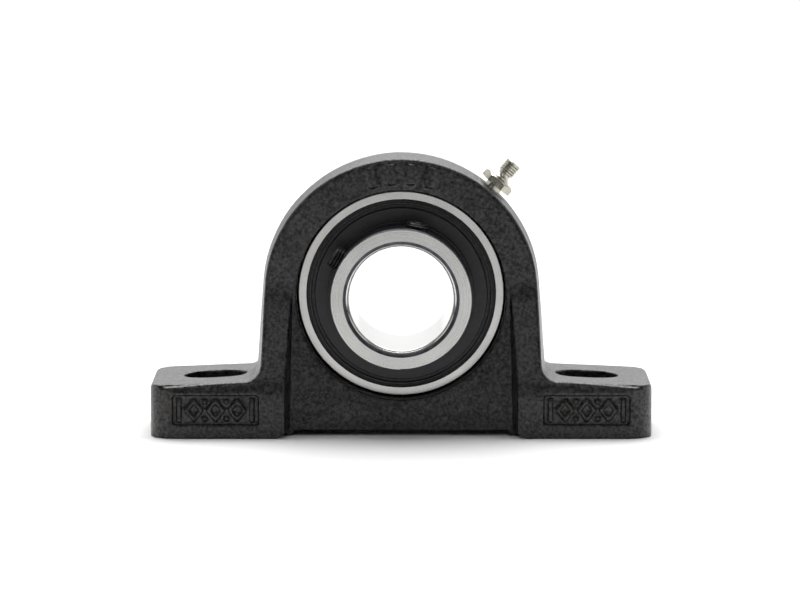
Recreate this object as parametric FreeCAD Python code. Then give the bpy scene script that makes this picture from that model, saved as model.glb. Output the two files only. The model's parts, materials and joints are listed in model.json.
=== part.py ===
import FreeCAD, Part

import math
import os

from FreeCAD import Vector

# Cast pillow-block housing with a self-aligning insert ball bearing for a 35 mm shaft.
# Millimetres. The origin is on the base plane, straight below the middle of the bearing.
# +X runs from bolt slot to bolt slot, the shaft lies along Y, and +Z is up.
# The set-screw end of the insert faces -Y.

# Housing, outside
SHAFT_HEIGHT = 47.6
BASE_LENGTH = 170.0
BASE_DEPTH = 48.0
BOLT_SPACING = 127.0
SLOT_WIDTH = 17.0
SLOT_LENGTH = 21.5
FOOT_END_HEIGHT = 18.0
FOOT_ROOT_HEIGHT = 19.6
FOOT_ROOT_X = 48.0
FOOT_CORNER_RADIUS = 8.5
ARCH_RADIUS = 47.3
ARCH_FACE_RADIUS = 46.3
ARCH_HALF_DEPTH = 13.4
LEG_FLARE_DEG = 4.0
LEG_LEAN_START_Z = 17.0
LEG_LEAN_END_Z = 48.0
LEG_LEAN_ROUND = 25.0
LEG_ROOT_FILLET = 5.5
FOOT_EDGE_ROUND = 1.6
ARCH_EDGE_ROUND = 1.2
EDGE_STEP_LENGTH = 27.0
EDGE_STEP_WIDTH = 1.8
EDGE_STEP_DEPTH = 1.1

# Recess between the legs, front and back, and the pocket under the base
RECESS_HALF_WIDTH = 39.5
RECESS_DEEP_HALF_WIDTH = 37.9
WALL_FOOT_HALF_DEPTH = 17.0
WALL_TOP_Z = 45.0
WALL_GROUND_GAP = 1.8
RECESS_RUN_IN = 2.0
WALL_GAP_HALF_LENGTH = 36.5
RECESS_FOOT_CHAMFER = 2.4
POCKET_LENGTH = 66.0
POCKET_WIDTH = 24.0
POCKET_HEIGHT = 5.5
END_POCKET_X = 46.0
END_POCKET_LENGTH = 8.0
END_POCKET_WIDTH = 34.0
END_POCKET_HEIGHT = 12.0
POCKET_CORNER_RADIUS = 3.5

# Spherical seat and grease way
SEAT_RADIUS = 36.06
MOUTH_RADIUS = 35.5
SEAT_GROOVE_FRONT_Y = -1.0
SEAT_GROOVE_REAR_Y = 7.0
SEAT_GROOVE_DEPTH = 1.0
LOADING_SLOT_HALF_HEIGHT = 8.9
PIN_GROOVE_HALF_WIDTH = 1.8
PIN_GROOVE_END_RADIUS = 1.7
PIN_GROOVE_HALF_LENGTH = 4.2
PIN_GROOVE_RADIUS = 37.4
NIPPLE_ANGLE_DEG = 48.6
NIPPLE_SPOT_RADIUS = 6.6
NIPPLE_SEAT_RADIUS = 46.8
NIPPLE_TAP_DEPTH = 6.2
NIPPLE_TAP_RADIUS = 3.02
GREASE_DRILL_RADIUS = 1.75

# Cast marks: plain lozenges and dots on the feet, plain bars on the arch
PANEL_CENTRE_X = 62.7
PANEL_CENTRE_Z = 9.7
PANEL_LENGTH = 29.2
PANEL_HEIGHT = 10.2
PANEL_CORNER_RADIUS = 1.0
PANEL_DEPTH = 1.2
PANEL_MARK_HEIGHT = 1.0
LOZENGE_PITCH = 7.3
LOZENGE_HALF_LENGTH = 3.2
LOZENGE_HALF_HEIGHT = 4.0
LOZENGE_STROKE = 1.35
PANEL_BAR_X = 12.3
PANEL_BAR_WIDTH = 1.3
PANEL_BAR_HEIGHT = 8.0
DOT_RADIUS = 0.8
DOT_HALF_SPREAD = 2.9
BAR_COUNT = 4
BAR_STEP_DEG = 9.3
BAR_LENGTH = 6.6
BAR_WIDTH = 3.0
BAR_HEIGHT = 0.7
BAR_MID_RADIUS = 41.2
MARK_ROOT = 0.5

# Insert bearing
BORE_RADIUS = 17.5
BORE_MOUTH_ROUND = 2.2
INNER_RING_RADIUS = 24.0
INNER_RING_FRONT_Y = -25.4
INNER_RING_REAR_Y = 17.5
INNER_RING_EDGE = 0.5
OUTER_RING_RADIUS = 36.0
OUTER_RING_HALF_WIDTH = 8.5
OUTER_LAND_RADIUS = 30.0
OUTER_RING_EDGE = 0.4
BALL_COUNT = 9
BALL_RADIUS = 5.556
PITCH_RADIUS = 26.75
RACE_RADIUS = 5.72
RACE_CLEARANCE = 0.06
RING_GROOVE_Y = 5.6
RING_GROOVE_WIDTH = 1.8
RING_GROOVE_DEPTH = 0.5
RING_HOLE_RADIUS = 0.8
RING_HOLE_ANGLES_DEG = (20, 200)

# Cage
POCKET_CLEARANCE = 0.14
CAGE_SHEET = 0.7
CAGE_INNER_RADIUS = 25.0
CAGE_OUTER_RADIUS = 28.5
RIVET_RADIUS = 0.9
RIVET_HOLE_RADIUS = 0.92
RIVET_HEAD_RADIUS = 1.5
RIVET_HEAD_HEIGHT = 0.45

# Seals and flingers, by distance from the middle plane of the ring
SEAL_STEP = 6.6
SEAL_SEAT_RADIUS = 32.1
SEAL_BEAD_OUTER = 32.08
SEAL_BEAD_INNER = 31.35
SEAL_BACK = 6.65
SEAL_CORE_BACK = 6.95
SEAL_CORE_FACE = 7.55
SEAL_CORE_RIM = 8.45
SEAL_CORE_RIM_INNER = 30.4
SEAL_CORE_INNER = 25.3
SEAL_BEAD_FACE = 8.05
SEAL_LIP_INNER = 24.06
SEAL_LIP_FACE = 7.7
SEAL_ROUND = 0.3
SEAL_LIP_ROUND = 0.2
FLINGER_RIM_BACK = 7.9
FLINGER_BACK = 8.3
FLINGER_FACE = 9.3
FLINGER_RADIUS = 29.4
FLINGER_RIM_INNER = 28.5
FLINGER_HUB_RADIUS = 24.9
FLINGER_HUB_FACE = 10.4
FLINGER_ROUND = 0.5
FLINGER_HUB_ROUND = 0.3

# Set screws
SCREW_ANGLES_DEG = (77.5, 148.0)
SCREW_Y = -19.4
SCREW_RADIUS = 3.95
SCREW_HOLE_RADIUS = 4.0
SCREW_INNER_ENDS = (17.9, 19.2)
SCREW_LENGTH = 8.0
SCREW_SOCKET_ACROSS_FLATS = 4.0
SCREW_SOCKET_DEPTH = 4.0
SCREW_EDGE = 0.6
SCREW_CUP_RADIUS = 2.0
SCREW_CUP_TIP_RADIUS = 0.2
SCREW_CUP_DEPTH = 1.0

# Anti-rotation pin, in the outer ring's side
PIN_RADIUS = 1.5
PIN_HOLE_RADIUS = 1.55
PIN_HOLE_FLOOR = 34.35
PIN_EDGE = 0.25
PIN_INNER_END = 34.4
PIN_OUTER_END = 36.9

# Grease nipple, by height above its seat
NIPPLE_SHANK_RADIUS = 3.0
NIPPLE_SHANK_LENGTH = 5.2
NIPPLE_HEX_BOTTOM = 1.6
NIPPLE_HEX_TOP = 4.3
NIPPLE_HEX_ACROSS_FLATS = 10.0
NIPPLE_HEX_TURN_DEG = -7.0
NIPPLE_HEX_BEVEL = 0.1
NIPPLE_HEX_BEVEL_SPREAD = 5.2
NIPPLE_NECK_FOOT_RADIUS = 4.3
NIPPLE_NECK_RADIUS = 2.2
NIPPLE_NECK_TOP = 6.4
NIPPLE_NECK_HOLLOW = (0.6, 0.7)
NIPPLE_HEAD_RADIUS = 2.75
NIPPLE_HEAD_TOP = 11.4
NIPPLE_RIDGE_COUNT = 5
NIPPLE_RIDGE_PITCH = 0.9
NIPPLE_RIDGE_DEPTH = 0.3
NIPPLE_RIDGE_FLANK = 0.2
NIPPLE_BORE_RADIUS = 1.25
NIPPLE_TIP_RADIUS = 0.8
NIPPLE_TIP_EDGE = 10.8
NIPPLE_LOWER_BORE_RADIUS = 0.8
NIPPLE_SPRING_SEAT = 3.6
CHECK_BALL_RADIUS = 1.1
CHECK_BALL_HEIGHT = 10.0
SPRING_MEAN_RADIUS = 0.92
SPRING_WIRE_RADIUS = 0.16
SPRING_PITCH = 0.9
SPRING_CLEARANCE = 0.03

# Working allowances: how far cutting shapes reach past a face, and how near is the same place
OVERRUN = 1.0
LONG_OVERRUN = 4.0
HOLE_RUN_IN = 2.0
HOLE_LENGTH = 12.0
SAME_PLACE = 1e-6
ROOT_EDGE_REACH = 1.5
ROOT_EDGE_RISE = 1.0
RIM_EDGE_REACH = 0.4

X_AXIS = Vector(1, 0, 0)
Y_AXIS = Vector(0, 1, 0)
Z_AXIS = Vector(0, 0, 1)
CENTRE = Vector(0, 0, SHAFT_HEIGHT)


# ---------------------------------------------------------------- general helpers

def corner_cut(before, corner, after, radius):
    """The points where a round of this radius leaves two straight runs, and its middle."""
    to_before = (before - corner).normalize()
    to_after = (after - corner).normalize()
    half_angle = to_before.getAngle(to_after) / 2
    along = radius / math.tan(half_angle)
    bisector = (to_before + to_after).normalize()
    middle = corner + bisector * (radius / math.sin(half_angle) - radius)
    return corner + to_before * along, middle, corner + to_after * along


def rounded_wire(corners):
    """A closed wire through (point, radius) corners, each rounded by its radius."""
    edges = []
    exits = []
    entries = []
    for index, (corner, radius) in enumerate(corners):
        before = corners[index - 1][0]
        after = corners[(index + 1) % len(corners)][0]
        if radius:
            start, middle, end = corner_cut(before, corner, after, radius)
            edges.append(Part.Arc(start, middle, end).toShape())
        else:
            start = end = corner
        entries.append(start)
        exits.append(end)
    for index, leave in enumerate(exits):
        arrive = entries[(index + 1) % len(entries)]
        if leave.distanceToPoint(arrive) > SAME_PLACE:
            edges.append(Part.makeLine(leave, arrive))
    return Part.Wire(Part.__sortEdges__(edges))


def turned(profile):
    """A ring about the Y axis from (radius, y) or (radius, y, round) corners."""
    corners = [(Vector(point[0], point[1], 0), point[2] if len(point) > 2 else 0) for point in profile]
    return Part.Face(rounded_wire(corners)).revolve(Vector(0, 0, 0), Y_AXIS, 360)


def both_ends(profile, end):
    """Profile corners given by distance from the middle plane, put at end -1 or +1."""
    return [(point[0], end * point[1]) + tuple(point[2:]) for point in profile]


def raised(corners, direction):
    """A prism from (point, radius) corners."""
    return Part.Face(rounded_wire(corners)).extrude(direction)


def on_shaft_line(shape):
    """Moves a shape made about the origin up to the bearing's own centre."""
    placed = shape.copy()
    placed.translate(CENTRE)
    return placed


def radial(shape, angle_deg, y=0.0):
    """Turns a shape made along +Z so that it points out from the bearing axis at an angle."""
    placed = shape.copy()
    placed.rotate(Vector(0, 0, 0), Y_AXIS, 90 - angle_deg)
    placed.translate(Vector(0, y, SHAFT_HEIGHT))
    return placed


def hexagon(across_flats, bottom, height):
    """A hexagonal prism along +Z."""
    corner_radius = across_flats / math.sqrt(3)
    points = [Vector(corner_radius * math.cos(math.radians(60 * side)),
                     corner_radius * math.sin(math.radians(60 * side)), bottom)
              for side in range(6)]
    return Part.Face(Part.makePolygon(points + points[:1])).extrude(Z_AXIS * height)


# ---------------------------------------------------------------- housing

def arch_outline(inset, y):
    """Front outline of the bearing body: the arch, and two legs that flare a little."""
    radius = ARCH_RADIUS - inset
    flare = math.radians(LEG_FLARE_DEG)
    tangent_x = radius * math.cos(flare)
    tangent_z = SHAFT_HEIGHT + radius * math.sin(flare)
    foot_z = FOOT_END_HEIGHT / 2
    foot_x = tangent_x + (tangent_z - foot_z) * math.tan(flare)
    left = Vector(-tangent_x, y, tangent_z)
    right = Vector(tangent_x, y, tangent_z)
    left_foot = Vector(-foot_x, y, foot_z)
    right_foot = Vector(foot_x, y, foot_z)
    crown = Vector(0, y, SHAFT_HEIGHT + radius)
    return Part.Wire([
        Part.Arc(left, crown, right).toShape(),
        Part.makeLine(right, right_foot),
        Part.makeLine(right_foot, left_foot),
        Part.makeLine(left_foot, left),
    ])


def arch_body():
    """The arch, drafted from its middle plane to both faces."""
    half = BASE_DEPTH / 2
    inset = (ARCH_RADIUS - ARCH_FACE_RADIUS) * half / ARCH_HALF_DEPTH
    front = Part.makeLoft([arch_outline(inset, -half), arch_outline(0, 0)], True, True)
    back = Part.makeLoft([arch_outline(0, 0), arch_outline(inset, half)], True, True)
    return front.fuse(back)


def base_slab():
    """Both feet and the web under the bearing, with a top that rises towards the body."""
    half_length = BASE_LENGTH / 2
    half_depth = BASE_DEPTH / 2
    slope = (FOOT_ROOT_HEIGHT - FOOT_END_HEIGHT) / (half_length - FOOT_ROOT_X)
    crest = FOOT_END_HEIGHT + slope * half_length
    side_view = [
        (Vector(-half_length, -half_depth, 0), 0),
        (Vector(half_length, -half_depth, 0), 0),
        (Vector(half_length, -half_depth, FOOT_END_HEIGHT), FOOT_EDGE_ROUND),
        (Vector(0, -half_depth, crest), 0),
        (Vector(-half_length, -half_depth, FOOT_END_HEIGHT), FOOT_EDGE_ROUND),
    ]
    slab = raised(side_view, Y_AXIS * BASE_DEPTH)
    plan = [(Vector(x * half_length, y * half_depth, 0), FOOT_CORNER_RADIUS)
            for x, y in ((-1, -1), (1, -1), (1, 1), (-1, 1))]
    return slab.common(raised(plan, Z_AXIS * crest))


def depth_envelope():
    """Side view of the whole housing: upright feet, legs that lean in, an upright arch."""
    half = BASE_DEPTH / 2
    top = SHAFT_HEIGHT + ARCH_RADIUS + OVERRUN
    start = Vector(-BASE_LENGTH, 0, 0)
    side_view = [
        (start + Vector(0, -half, 0), 0),
        (start + Vector(0, -half, LEG_LEAN_START_Z), LEG_LEAN_ROUND),
        (start + Vector(0, -ARCH_HALF_DEPTH, LEG_LEAN_END_Z), LEG_LEAN_ROUND),
        (start + Vector(0, -ARCH_HALF_DEPTH, top), 0),
        (start + Vector(0, ARCH_HALF_DEPTH, top), 0),
        (start + Vector(0, ARCH_HALF_DEPTH, LEG_LEAN_END_Z), LEG_LEAN_ROUND),
        (start + Vector(0, half, LEG_LEAN_START_Z), LEG_LEAN_ROUND),
        (start + Vector(0, half, 0), 0),
    ]
    return raised(side_view, X_AXIS * (2 * BASE_LENGTH))


def leg_recess(side):
    """The space between the two legs on one side, from the base up to where it fades out."""
    outer_y = BASE_DEPTH / 2 + LONG_OVERRUN
    top = SHAFT_HEIGHT + LONG_OVERRUN
    draft = (RECESS_HALF_WIDTH - RECESS_DEEP_HALF_WIDTH) / (BASE_DEPTH / 2 - WALL_FOOT_HALF_DEPTH)
    deep_y = ARCH_HALF_DEPTH - RECESS_RUN_IN
    outer_x = RECESS_HALF_WIDTH + draft * (outer_y - BASE_DEPTH / 2)
    deep_x = RECESS_HALF_WIDTH - draft * (BASE_DEPTH / 2 - deep_y)
    plan = [(Vector(x, side * y, -OVERRUN), 0)
            for x, y in ((-outer_x, outer_y), (outer_x, outer_y), (deep_x, deep_y), (-deep_x, deep_y))]
    gap = raised(plan, Z_AXIS * (top + OVERRUN))
    start = Vector(-BASE_LENGTH, 0, 0)
    side_view = [
        (start + Vector(0, side * outer_y, -OVERRUN), 0),
        (start + Vector(0, side * WALL_FOOT_HALF_DEPTH, -OVERRUN), 0),
        (start + Vector(0, side * WALL_FOOT_HALF_DEPTH, WALL_GROUND_GAP), 0),
        (start + Vector(0, side * ARCH_HALF_DEPTH, WALL_TOP_Z), 0),
        (start + Vector(0, side * ARCH_HALF_DEPTH, top), 0),
        (start + Vector(0, side * outer_y, top), 0),
    ]
    return gap.common(raised(side_view, X_AXIS * (2 * BASE_LENGTH)))


def recess_foot_relief(side):
    """Bevels the feet's inner bottom edges, where they meet the recess."""
    depth = BASE_DEPTH / 2 + OVERRUN - WALL_FOOT_HALF_DEPTH
    start_y = WALL_FOOT_HALF_DEPTH if side > 0 else -WALL_FOOT_HALF_DEPTH - depth
    inner_x = RECESS_DEEP_HALF_WIDTH - OVERRUN
    outer_x = RECESS_HALF_WIDTH + RECESS_FOOT_CHAMFER
    reliefs = []
    for hand in (-1, 1):
        wedge = [(Vector(hand * x, start_y, z), 0)
                 for x, z in ((outer_x, 0), (inner_x, RECESS_FOOT_CHAMFER + OVERRUN),
                              (inner_x, -OVERRUN), (outer_x, -OVERRUN))]
        reliefs.append(raised(wedge, Y_AXIS * depth))
    return reliefs


def rounded_block(length, width, bottom, top, corner_radius, centre_x=0.0):
    """An upright block with rounded corners in plan."""
    plan = [(Vector(centre_x + x * length / 2, y * width / 2, bottom), corner_radius)
            for x, y in ((-1, -1), (1, -1), (1, 1), (-1, 1))]
    return raised(plan, Z_AXIS * (top - bottom))


def bolt_slot(side):
    """One foot slot for the mounting bolt, cut right through."""
    height = FOOT_ROOT_HEIGHT + 2 * OVERRUN
    centre_x = side * BOLT_SPACING / 2
    offset = (SLOT_LENGTH - SLOT_WIDTH) / 2
    ends = [Part.makeCylinder(SLOT_WIDTH / 2, height, Vector(centre_x + hand * offset, 0, -OVERRUN))
            for hand in (-1, 1)]
    corner = Vector(centre_x - offset, -SLOT_WIDTH / 2, -OVERRUN)
    middle = Part.makeBox(2 * offset, SLOT_WIDTH, height, corner)
    return ends[0].fuse([ends[1], middle]).removeSplitter()


def bearing_seat():
    """The spherical seat, its straight mouths, and the grease groove round it."""
    half = BASE_DEPTH / 2 + OVERRUN
    ball = Part.makeSphere(SEAT_RADIUS)
    mouth = Part.makeCylinder(MOUTH_RADIUS, 2 * half, Vector(0, -half, 0), Y_AXIS)
    groove_radius = SEAT_RADIUS + SEAT_GROOVE_DEPTH
    groove_width = SEAT_GROOVE_REAR_Y - SEAT_GROOVE_FRONT_Y
    groove = Part.makeCylinder(groove_radius, groove_width, Vector(0, SEAT_GROOVE_FRONT_Y, 0), Y_AXIS)
    return on_shaft_line(ball.fuse([mouth, groove]))


def loading_slots():
    """Two shallow notches in the rear mouth, which let the ring in turned on edge."""
    reach = Part.makeCylinder(SEAT_RADIUS, BASE_DEPTH, Vector(0, 0, 0), Y_AXIS)
    height = 2 * LOADING_SLOT_HALF_HEIGHT
    length = 2 * (SEAT_RADIUS + OVERRUN)
    strip = Part.makeBox(length, BASE_DEPTH, height, Vector(-length / 2, 0, -height / 2))
    return on_shaft_line(reach.common(strip))


def pin_groove():
    """The short groove in the seat that lets the anti-rotation pin swing but not turn."""
    groove = rounded_block(2 * PIN_GROOVE_HALF_WIDTH, 2 * PIN_GROOVE_HALF_LENGTH,
                           SEAT_RADIUS - HOLE_RUN_IN, PIN_GROOVE_RADIUS, PIN_GROOVE_END_RADIUS)
    return radial(groove, 180)


def nipple_hole():
    """Spot face, tapped hole and grease drilling for the nipple, made along +Z."""
    spot = Part.makeCylinder(NIPPLE_SPOT_RADIUS, LONG_OVERRUN, Vector(0, 0, NIPPLE_SEAT_RADIUS))
    tap_bottom = NIPPLE_SEAT_RADIUS - NIPPLE_TAP_DEPTH
    tap = Part.makeCylinder(NIPPLE_TAP_RADIUS, NIPPLE_TAP_DEPTH + OVERRUN, Vector(0, 0, tap_bottom))
    drill_bottom = SEAT_RADIUS - OVERRUN
    drill_length = tap_bottom - drill_bottom + OVERRUN
    drill = Part.makeCylinder(GREASE_DRILL_RADIUS, drill_length, Vector(0, 0, drill_bottom))
    return radial(spot.fuse([tap, drill]), NIPPLE_ANGLE_DEG)


def lozenge(centre_x, half_length, half_height, front_y, depth):
    """A flat lozenge that faces -Y."""
    points = [Vector(centre_x + x * half_length, front_y, PANEL_CENTRE_Z + z * half_height)
              for x, z in ((-1, 0), (0, -1), (1, 0), (0, 1))]
    return Part.Face(Part.makePolygon(points + points[:1])).extrude(Y_AXIS * depth)


def foot_panel(side):
    """The sunk panel on the front of one foot."""
    front_y = -BASE_DEPTH / 2
    half_length = PANEL_LENGTH / 2
    half_height = PANEL_HEIGHT / 2
    centre = Vector(side * PANEL_CENTRE_X, front_y - OVERRUN, PANEL_CENTRE_Z)
    outline = [(centre + Vector(x * half_length, 0, z * half_height), PANEL_CORNER_RADIUS)
               for x, z in ((-1, -1), (1, -1), (1, 1), (-1, 1))]
    return raised(outline, Y_AXIS * (PANEL_DEPTH + OVERRUN))


def foot_marks(side):
    """Three lozenge outlines, four dots and two end bars, raised in the sunk panel."""
    face_y = -BASE_DEPTH / 2 + PANEL_DEPTH - PANEL_MARK_HEIGHT
    depth = PANEL_MARK_HEIGHT + MARK_ROOT
    shrink = 1 - LOZENGE_STROKE / LOZENGE_HALF_LENGTH
    marks = []
    for place in (-1, 0, 1):
        centre_x = side * PANEL_CENTRE_X + place * LOZENGE_PITCH
        outer = lozenge(centre_x, LOZENGE_HALF_LENGTH, LOZENGE_HALF_HEIGHT, face_y, depth)
        inner = lozenge(centre_x, LOZENGE_HALF_LENGTH * shrink, LOZENGE_HALF_HEIGHT * shrink, face_y, depth)
        marks.append(outer.cut(inner))
    for hand in (-1, 1):
        for height in (-1, 1):
            at = Vector(side * PANEL_CENTRE_X + hand * LOZENGE_PITCH / 2, face_y,
                        PANEL_CENTRE_Z + height * DOT_HALF_SPREAD)
            marks.append(Part.makeCylinder(DOT_RADIUS, depth, at, Y_AXIS))
        corner = Vector(side * PANEL_CENTRE_X + hand * PANEL_BAR_X - PANEL_BAR_WIDTH / 2, face_y,
                        PANEL_CENTRE_Z - PANEL_BAR_HEIGHT / 2)
        marks.append(Part.makeBox(PANEL_BAR_WIDTH, depth, PANEL_BAR_HEIGHT, corner))
    return marks


def arch_marks():
    """A short row of plain raised bars at the top of the arch's front face."""
    marks = []
    for place in range(BAR_COUNT):
        angle = 90 + (place - (BAR_COUNT - 1) / 2) * BAR_STEP_DEG
        corner = Vector(-BAR_WIDTH / 2, -ARCH_HALF_DEPTH - BAR_HEIGHT, BAR_MID_RADIUS - BAR_LENGTH / 2)
        bar = Part.makeBox(BAR_WIDTH, BAR_HEIGHT + MARK_ROOT, BAR_LENGTH, corner)
        marks.append(radial(bar, angle))
    return marks


def edge_step(side):
    """A step along a foot's front top edge, deepest at the foot's end and fading out inwards."""
    half_length = BASE_LENGTH / 2
    front_y = -BASE_DEPTH / 2 - OVERRUN
    slope = (FOOT_ROOT_HEIGHT - FOOT_END_HEIGHT) / (half_length - FOOT_ROOT_X)
    fade_height = FOOT_END_HEIGHT + slope * EDGE_STEP_LENGTH
    corners = [
        Vector(side * (half_length - EDGE_STEP_LENGTH), front_y, fade_height),
        Vector(side * half_length, front_y, FOOT_END_HEIGHT - EDGE_STEP_DEPTH),
        Vector(side * half_length, front_y, FOOT_ROOT_HEIGHT),
    ]
    return Part.Face(Part.makePolygon(corners + corners[:1])).extrude(Y_AXIS * (EDGE_STEP_WIDTH + OVERRUN))


def edges_near(shape, test):
    """The edges whose middle point passes a test."""
    found = []
    for edge in shape.Edges:
        middle = edge.valueAt((edge.FirstParameter + edge.LastParameter) / 2)
        if test(middle):
            found.append(edge)
    return found


def is_leg_root(point):
    """True on the inside corners where a leg's flank meets the foot's top."""
    return (abs(abs(point.x) - FOOT_ROOT_X) < ROOT_EDGE_REACH
            and abs(point.z - FOOT_ROOT_HEIGHT) < ROOT_EDGE_RISE
            and abs(point.y) < BASE_DEPTH / 3)


def is_arch_rim(point):
    """True on the edge between the arch's face and its outside."""
    reach = math.hypot(point.x, point.z - SHAFT_HEIGHT)
    return (point.z > SHAFT_HEIGHT and abs(reach - ARCH_FACE_RADIUS) < RIM_EDGE_REACH
            and abs(abs(point.y) - ARCH_HALF_DEPTH) < RIM_EDGE_REACH)


def make_housing():
    solid = base_slab().fuse(arch_body()).removeSplitter()
    solid = solid.makeFillet(LEG_ROOT_FILLET, edges_near(solid, is_leg_root))
    solid = solid.common(depth_envelope())
    solid = solid.makeFillet(ARCH_EDGE_ROUND, edges_near(solid, is_arch_rim))
    cuts = [leg_recess(-1), leg_recess(1), bolt_slot(-1), bolt_slot(1)]
    cuts += recess_foot_relief(-1) + recess_foot_relief(1)
    cuts.append(rounded_block(POCKET_LENGTH, POCKET_WIDTH, -OVERRUN, POCKET_HEIGHT, POCKET_CORNER_RADIUS))
    cuts.append(Part.makeBox(2 * WALL_GAP_HALF_LENGTH, BASE_DEPTH + 2 * OVERRUN, WALL_GROUND_GAP + OVERRUN,
                             Vector(-WALL_GAP_HALF_LENGTH, -BASE_DEPTH / 2 - OVERRUN, -OVERRUN)))
    for hand in (-1, 1):
        cuts.append(rounded_block(END_POCKET_LENGTH, END_POCKET_WIDTH, -OVERRUN, END_POCKET_HEIGHT,
                                  POCKET_CORNER_RADIUS, hand * END_POCKET_X))
        cuts += [foot_panel(hand), edge_step(hand)]
    cuts += [bearing_seat(), loading_slots(), pin_groove(), nipple_hole()]
    solid = solid.cut(cuts)
    solid = solid.fuse(foot_marks(-1) + foot_marks(1) + arch_marks())
    return solid.removeSplitter()


# ---------------------------------------------------------------- rings and balls

def ball_angles():
    """Places of the balls round the bearing, in degrees."""
    return [360.0 * index / BALL_COUNT for index in range(BALL_COUNT)]


def ball_centre(angle_deg):
    """Centre of the ball at an angle, about the origin."""
    angle = math.radians(angle_deg)
    return Vector(PITCH_RADIUS * math.cos(angle), 0, PITCH_RADIUS * math.sin(angle))


def race_groove(clearance):
    """The ring-shaped groove that the balls run in. Clearance is positive for the outer ring."""
    groove_pitch = PITCH_RADIUS + BALL_RADIUS - RACE_RADIUS
    if clearance < 0:
        groove_pitch = PITCH_RADIUS - BALL_RADIUS + RACE_RADIUS
    return Part.makeTorus(groove_pitch + clearance, RACE_RADIUS, Vector(0, 0, 0), Y_AXIS)


def make_outer_ring():
    half = OUTER_RING_HALF_WIDTH
    blank = turned([
        (OUTER_LAND_RADIUS, -SEAL_STEP), (SEAL_SEAT_RADIUS, -SEAL_STEP),
        (SEAL_SEAT_RADIUS, -half, OUTER_RING_EDGE / 2), (OUTER_RING_RADIUS + OVERRUN, -half),
        (OUTER_RING_RADIUS + OVERRUN, half), (SEAL_SEAT_RADIUS, half, OUTER_RING_EDGE / 2),
        (SEAL_SEAT_RADIUS, SEAL_STEP), (OUTER_LAND_RADIUS, SEAL_STEP),
    ])
    ring = blank.common(Part.makeSphere(OUTER_RING_RADIUS))
    rims = [edge for edge in ring.Edges
            if abs(abs(edge.valueAt(edge.FirstParameter).y) - half) < SAME_PLACE
            and edge.BoundBox.XMax > SEAL_SEAT_RADIUS + OVERRUN]
    ring = ring.makeFillet(OUTER_RING_EDGE, rims)
    groove_floor = OUTER_RING_RADIUS - RING_GROOVE_DEPTH
    groove_front = RING_GROOVE_Y - RING_GROOVE_WIDTH / 2
    local_radius = math.sqrt(groove_floor ** 2 - RING_GROOVE_Y ** 2)
    groove = turned([
        (local_radius, groove_front), (OUTER_RING_RADIUS + OVERRUN, groove_front),
        (OUTER_RING_RADIUS + OVERRUN, groove_front + RING_GROOVE_WIDTH),
        (local_radius, groove_front + RING_GROOVE_WIDTH),
    ])
    cuts = [race_groove(RACE_CLEARANCE), groove]
    for angle in RING_HOLE_ANGLES_DEG:
        hole = Part.makeCylinder(RING_HOLE_RADIUS, HOLE_LENGTH, Vector(0, 0, OUTER_LAND_RADIUS - HOLE_RUN_IN))
        hole.rotate(Vector(0, 0, 0), Y_AXIS, 90 - angle)
        hole.translate(Y_AXIS * RING_GROOVE_Y)
        cuts.append(hole)
    pin_seat = Part.makeCylinder(PIN_HOLE_RADIUS, LONG_OVERRUN, Vector(-PIN_HOLE_FLOOR, 0, 0), X_AXIS * -1)
    cuts.append(pin_seat)
    return on_shaft_line(ring.cut(cuts))


def make_inner_ring():
    ring = turned([
        (BORE_RADIUS, INNER_RING_FRONT_Y, BORE_MOUTH_ROUND),
        (INNER_RING_RADIUS, INNER_RING_FRONT_Y, INNER_RING_EDGE),
        (INNER_RING_RADIUS, INNER_RING_REAR_Y, INNER_RING_EDGE),
        (BORE_RADIUS, INNER_RING_REAR_Y, BORE_MOUTH_ROUND),
    ])
    cuts = [race_groove(-RACE_CLEARANCE)]
    for angle in SCREW_ANGLES_DEG:
        hole = Part.makeCylinder(SCREW_HOLE_RADIUS, HOLE_LENGTH, Vector(0, 0, BORE_RADIUS - HOLE_RUN_IN))
        hole.rotate(Vector(0, 0, 0), Y_AXIS, 90 - angle)
        hole.translate(Y_AXIS * SCREW_Y)
        cuts.append(hole)
    return on_shaft_line(ring.cut(cuts))


def make_ball(angle_deg):
    ball = Part.makeSphere(BALL_RADIUS)
    ball.translate(ball_centre(angle_deg))
    return on_shaft_line(ball)


def make_anti_rotation_pin():
    pin = Part.makeCylinder(PIN_RADIUS, PIN_OUTER_END - PIN_INNER_END, Vector(0, 0, PIN_INNER_END))
    pin = pin.makeChamfer(PIN_EDGE, [edge for edge in pin.Edges if edge.Closed])
    return radial(pin, 180)


# ---------------------------------------------------------------- cage

def rivet_angles():
    """Places of the rivets, half way between the balls."""
    return [angle + 180.0 / BALL_COUNT for angle in ball_angles()]


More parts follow.
